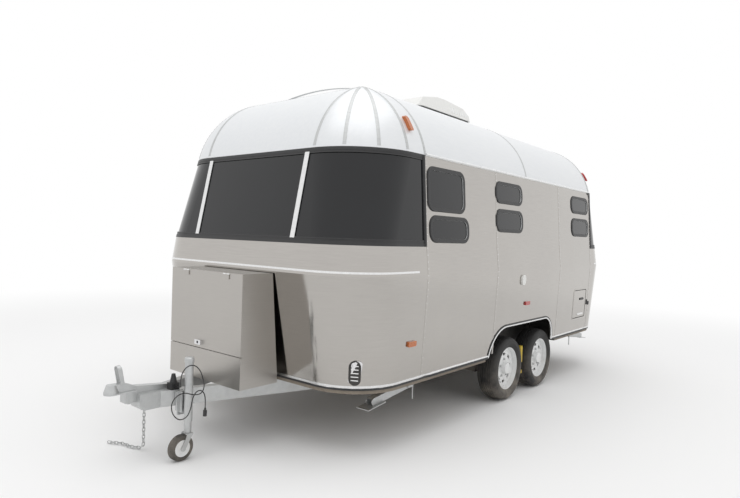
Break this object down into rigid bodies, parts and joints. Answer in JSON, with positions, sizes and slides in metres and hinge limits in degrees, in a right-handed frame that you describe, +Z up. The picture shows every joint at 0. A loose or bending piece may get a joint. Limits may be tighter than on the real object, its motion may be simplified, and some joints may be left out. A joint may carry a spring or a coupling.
{
  "type": "travel caravan",
  "caption": "Twin axle travel caravan with a domed aluminium body, wrap round end windows, front storage box, drawbar and jockey wheel; doors, steadies and wheels move.",
  "frame": {"origin": "on the ground under the middle of the caravan's box", "axes": "+X to the caravan's left, +Y to its rear, +Z up; the drawbar points to -Y"},
  "size_m": [2.3834, 5.816, 2.912],
  "materials": {
    "polished_skin": "rolled aluminium sheet, soft directional polish",
    "roof_skin": "pale satin aluminium",
    "window_frame": "black rubber and plastic",
    "dark_glass": "dark tinted acrylic",
    "box_steel": "brushed stainless sheet",
    "galvanised": "hot dip galvanised, dull",
    "black_steel": "black paint",
    "floor_board": "sealed plywood underside",
    "tyre_rubber": "worn black rubber",
    "wheel_white": "white enamel",
    "cooler_white": "white moulded plastic",
    "cooler_seal": "black foam seal",
    "amber_lamp": "amber lens",
    "red_lamp": "red lens",
    "lead_black": "black sheath",
    "damper_yellow": "yellow paint",
    "inlet_white": "white moulded plastic",
    "chrome": "chromed metal"
  },
  "bodies": {
    "caravan": {"axle_front": "black_steel", "axle_rear": "black_steel", "chassis": "galvanised", "clearance_lamps_front": "amber_lamp", "clearance_lamps_rear": "red_lamp", "cooler_base": "cooler_seal", "cooler_shroud": "cooler_white", "corner_grille": "chrome", "coupling": "galvanised", "coupling_handle": "galvanised", "dampers": "damper_yellow", "drawbar": "galvanised", "floor": "floor_board", "front_panel": "polished_skin", "front_window_frame": "window_frame", "front_window_panes": "dark_glass", "jockey_outer_tube": "galvanised", "lead_gland": "lead_black", "lead_plug": "lead_black", "number_plate": "inlet_white", "power_inlet": "inlet_white", "rear_panel": "polished_skin", "rear_window_frame": "window_frame", "rear_window_panes": "dark_glass", "roof_dome_front": "roof_skin", "roof_dome_rear": "roof_skin", "roof_middle": "roof_skin", "safety_chain": "galvanised", "side_markers_front": "amber_lamp", "side_markers_rear": "red_lamp", "side_wall_left": "polished_skin", "side_wall_right": "polished_skin", "side_window_frames": "window_frame", "side_window_panes": "dark_glass", "steady_brackets": "galvanised", "storage_box": "box_steel", "tail_lamps": "red_lamp", "towing_lead": "lead_black", "wheel_boxes": "black_steel"},
    "wheel_front_left": {"tyre_front_left": "tyre_rubber", "wheel_front_left": "wheel_white"},
    "steady_front_left": {"steady_front_left": "galvanised"},
    "wheel_front_right": {"tyre_front_right": "tyre_rubber", "wheel_front_right": "wheel_white"},
    "steady_front_right": {"steady_front_right": "galvanised"},
    "wheel_rear_left": {"tyre_rear_left": "tyre_rubber", "wheel_rear_left": "wheel_white"},
    "steady_rear_left": {"steady_rear_left": "galvanised"},
    "wheel_rear_right": {"tyre_rear_right": "tyre_rubber", "wheel_rear_right": "wheel_white"},
    "steady_rear_right": {"steady_rear_right": "galvanised"},
    "jockey_stem": {"jockey_inner_tube": "galvanised"},
    "jockey_fork": {"jockey_fork": "galvanised"},
    "jockey_wheel": {"jockey_wheel": "tyre_rubber"},
    "entrance_door": {"entrance_door": "polished_skin", "door_window_pane": "dark_glass", "entrance_door_handle": "chrome"},
    "service_hatch": {"service_hatch": "polished_skin"},
    "storage_box_door": {"storage_box_door": "box_steel", "storage_box_lock": "chrome"}
  },
  "joints": [
    {"name": "wheel_front_left_spin", "type": "hinge", "parent": "caravan", "child": "wheel_front_left", "pos_m": [1.013, 0.402, 0.298], "axis": [1, 0, 0], "continuous": true},
    {"name": "wheel_front_right_spin", "type": "hinge", "parent": "caravan", "child": "wheel_front_right", "pos_m": [-1.013, 0.402, 0.298], "axis": [1, 0, 0], "continuous": true},
    {"name": "wheel_rear_left_spin", "type": "hinge", "parent": "caravan", "child": "wheel_rear_left", "pos_m": [1.013, 1.12, 0.298], "axis": [1, 0, 0], "continuous": true},
    {"name": "wheel_rear_right_spin", "type": "hinge", "parent": "caravan", "child": "wheel_rear_right", "pos_m": [-1.013, 1.12, 0.298], "axis": [1, 0, 0], "continuous": true},
    {"name": "jockey_wind", "type": "slide", "parent": "caravan", "child": "jockey_stem", "axis": [0, 0, 1], "range_m": [0, 0.065]},
    {"name": "jockey_swivel", "type": "hinge", "parent": "jockey_stem", "child": "jockey_fork", "pos_m": [0.205, -2.435, 0.17], "axis": [0, 0, 1], "continuous": true},
    {"name": "jockey_wheel_spin", "type": "hinge", "parent": "jockey_fork", "child": "jockey_wheel", "pos_m": [0.205, -2.485, 0.084], "axis": [1, 0, 0], "continuous": true},
    {"name": "steady_front_left_drop", "type": "hinge", "parent": "caravan", "child": "steady_front_left", "pos_m": [0.93, -1, 0.378], "axis": [1, 0, 0], "range_deg": [0, 34]},
    {"name": "steady_front_right_drop", "type": "hinge", "parent": "caravan", "child": "steady_front_right", "pos_m": [-0.93, -1, 0.378], "axis": [1, 0, 0], "range_deg": [0, 34]},
    {"name": "steady_rear_left_drop", "type": "hinge", "parent": "caravan", "child": "steady_rear_left", "pos_m": [0.93, 2.33, 0.378], "axis": [-1, 0, 0], "range_deg": [0, 34]},
    {"name": "steady_rear_right_drop", "type": "hinge", "parent": "caravan", "child": "steady_rear_right", "pos_m": [-0.93, 2.33, 0.378], "axis": [-1, 0, 0], "range_deg": [0, 34]},
    {"name": "entrance_door_hinge", "type": "hinge", "parent": "caravan", "child": "entrance_door", "pos_m": [-1.18, -0.964, 1.285], "axis": [0, 0, 1], "range_deg": [0, 110]},
    {"name": "service_hatch_hinge", "type": "hinge", "parent": "caravan", "child": "service_hatch", "pos_m": [1.165, 1.896, 0.795], "axis": [0, 0, -1], "range_deg": [0, 120]},
    {"name": "storage_box_door_hinge", "type": "hinge", "parent": "caravan", "child": "storage_box_door", "pos_m": [0, -2.191, 1.216], "axis": [-1, 0, 0], "range_deg": [0, 100]}
  ]
}
